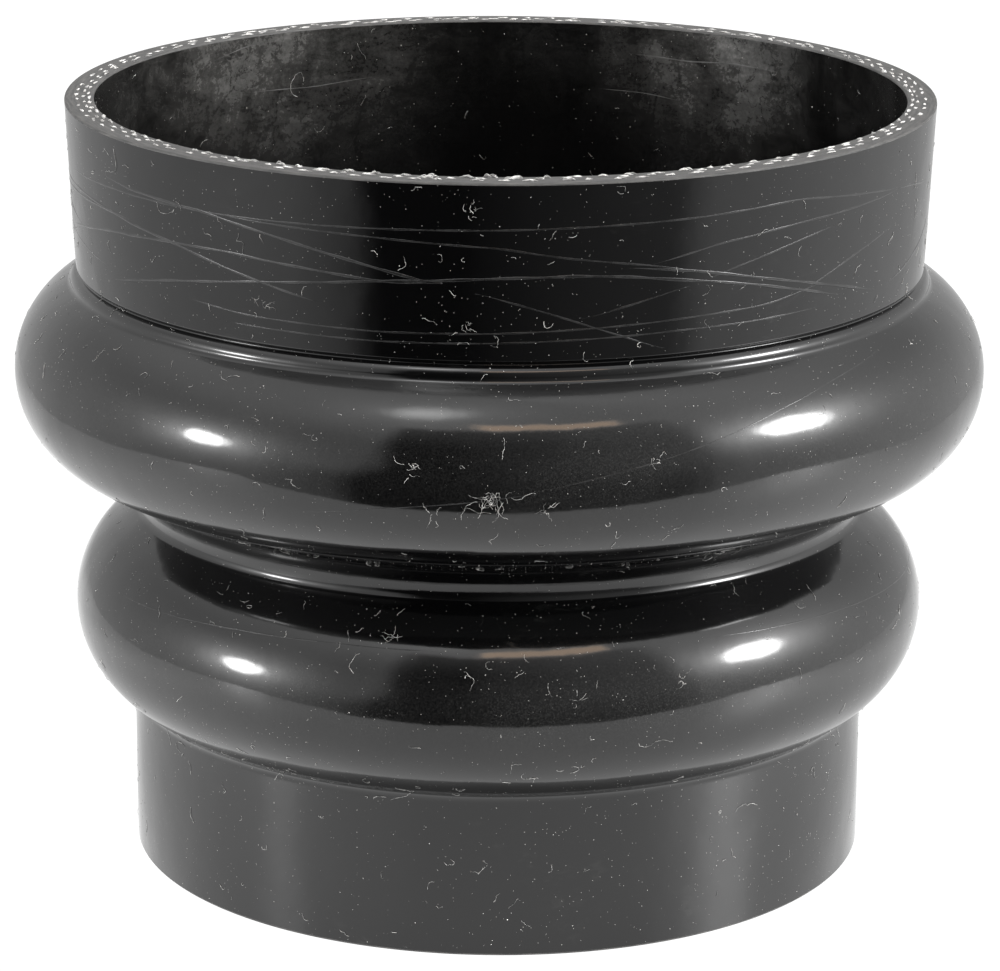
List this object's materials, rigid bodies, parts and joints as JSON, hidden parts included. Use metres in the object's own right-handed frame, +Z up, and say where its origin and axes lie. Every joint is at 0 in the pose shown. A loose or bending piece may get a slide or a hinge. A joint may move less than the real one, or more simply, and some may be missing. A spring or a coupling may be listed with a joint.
{
  "type": "pipe coupling",
  "caption": "Double-hump silicone reducer hose that joins two pipes of unlike diameter; its cloth-reinforced wall flexes and stretches at both humps.",
  "frame": {"origin": "centre of the foot, the cut end of the narrow cuff", "axes": "+Z up along the hose, from the narrow cuff to the wide cuff; +X and +Y are any pair across it"},
  "size_m": [0.1382, 0.1382, 0.1093],
  "materials": {
    "cover_silicone": "gloss",
    "coated_cloth": "matte",
    "liner_silicone": "satin"
  },
  "bodies": {
    "lower_cuff": {"lower_cuff_cover": "cover_silicone", "lower_cuff_ply_3": "coated_cloth", "lower_cuff_ply_2": "coated_cloth", "lower_cuff_ply_1": "coated_cloth", "lower_cuff_liner": "liner_silicone", "lower_hump_base_cover": "cover_silicone", "lower_hump_base_ply_3": "coated_cloth", "lower_hump_base_ply_2": "coated_cloth", "lower_hump_base_ply_1": "coated_cloth", "lower_hump_base_liner": "liner_silicone"},
    "lower_hump_crest": {"lower_hump_crest_cover": "cover_silicone", "lower_hump_crest_ply_3": "coated_cloth", "lower_hump_crest_ply_2": "coated_cloth", "lower_hump_crest_ply_1": "coated_cloth", "lower_hump_crest_liner": "liner_silicone", "lower_hump_shoulder_cover": "cover_silicone", "lower_hump_shoulder_ply_3": "coated_cloth", "lower_hump_shoulder_ply_2": "coated_cloth", "lower_hump_shoulder_ply_1": "coated_cloth", "lower_hump_shoulder_liner": "liner_silicone"},
    "waist": {"waist_cover": "cover_silicone", "waist_ply_3": "coated_cloth", "waist_ply_2": "coated_cloth", "waist_ply_1": "coated_cloth", "waist_liner": "liner_silicone", "upper_hump_base_cover": "cover_silicone", "upper_hump_base_ply_3": "coated_cloth", "upper_hump_base_ply_2": "coated_cloth", "upper_hump_base_ply_1": "coated_cloth", "upper_hump_base_liner": "liner_silicone"},
    "upper_hump_crest": {"upper_hump_crest_cover": "cover_silicone", "upper_hump_crest_ply_3": "coated_cloth", "upper_hump_crest_ply_2": "coated_cloth", "upper_hump_crest_ply_1": "coated_cloth", "upper_hump_crest_liner": "liner_silicone", "upper_hump_shoulder_cover": "cover_silicone", "upper_hump_shoulder_ply_3": "coated_cloth", "upper_hump_shoulder_ply_2": "coated_cloth", "upper_hump_shoulder_ply_1": "coated_cloth", "upper_hump_shoulder_liner": "liner_silicone"},
    "upper_cuff": {"upper_cuff_cover": "cover_silicone", "upper_cuff_ply_3": "coated_cloth", "upper_cuff_ply_2": "coated_cloth", "upper_cuff_ply_1": "coated_cloth", "upper_cuff_liner": "liner_silicone"}
  },
  "joints": [
    {"name": "lower_hump_stretch", "type": "slide", "parent": "lower_cuff", "child": "lower_hump_crest", "axis": [0, 0, 1], "range_m": [-0.005, 0.005], "stiffness_N_per_m": 4000, "deforming": ["lower_hump_base_cover", "lower_hump_base_ply_3", "lower_hump_base_ply_2", "lower_hump_base_ply_1", "lower_hump_base_liner"]},
    {"name": "lower_hump_tilt", "type": "hinge", "parent": "lower_hump_crest", "child": "waist", "pos_m": [0, 0, 0.0457], "axis": [1, 0, 0], "range_deg": [-5, 5], "stiffness_Nm_per_rad": 8, "deforming": ["lower_hump_shoulder_cover", "lower_hump_shoulder_ply_3", "lower_hump_shoulder_ply_2", "lower_hump_shoulder_ply_1", "lower_hump_shoulder_liner"]},
    {"name": "upper_hump_tilt", "type": "hinge", "parent": "waist", "child": "upper_hump_crest", "pos_m": [0, 0, 0.0612], "axis": [0, 1, 0], "range_deg": [-5, 5], "stiffness_Nm_per_rad": 8, "deforming": ["upper_hump_base_cover", "upper_hump_base_ply_3", "upper_hump_base_ply_2", "upper_hump_base_ply_1", "upper_hump_base_liner"]},
    {"name": "upper_hump_stretch", "type": "slide", "parent": "upper_hump_crest", "child": "upper_cuff", "axis": [0, 0, 1], "range_m": [-0.005, 0.005], "stiffness_N_per_m": 4000, "deforming": ["upper_hump_shoulder_cover", "upper_hump_shoulder_ply_3", "upper_hump_shoulder_ply_2", "upper_hump_shoulder_ply_1", "upper_hump_shoulder_liner"]}
  ]
}
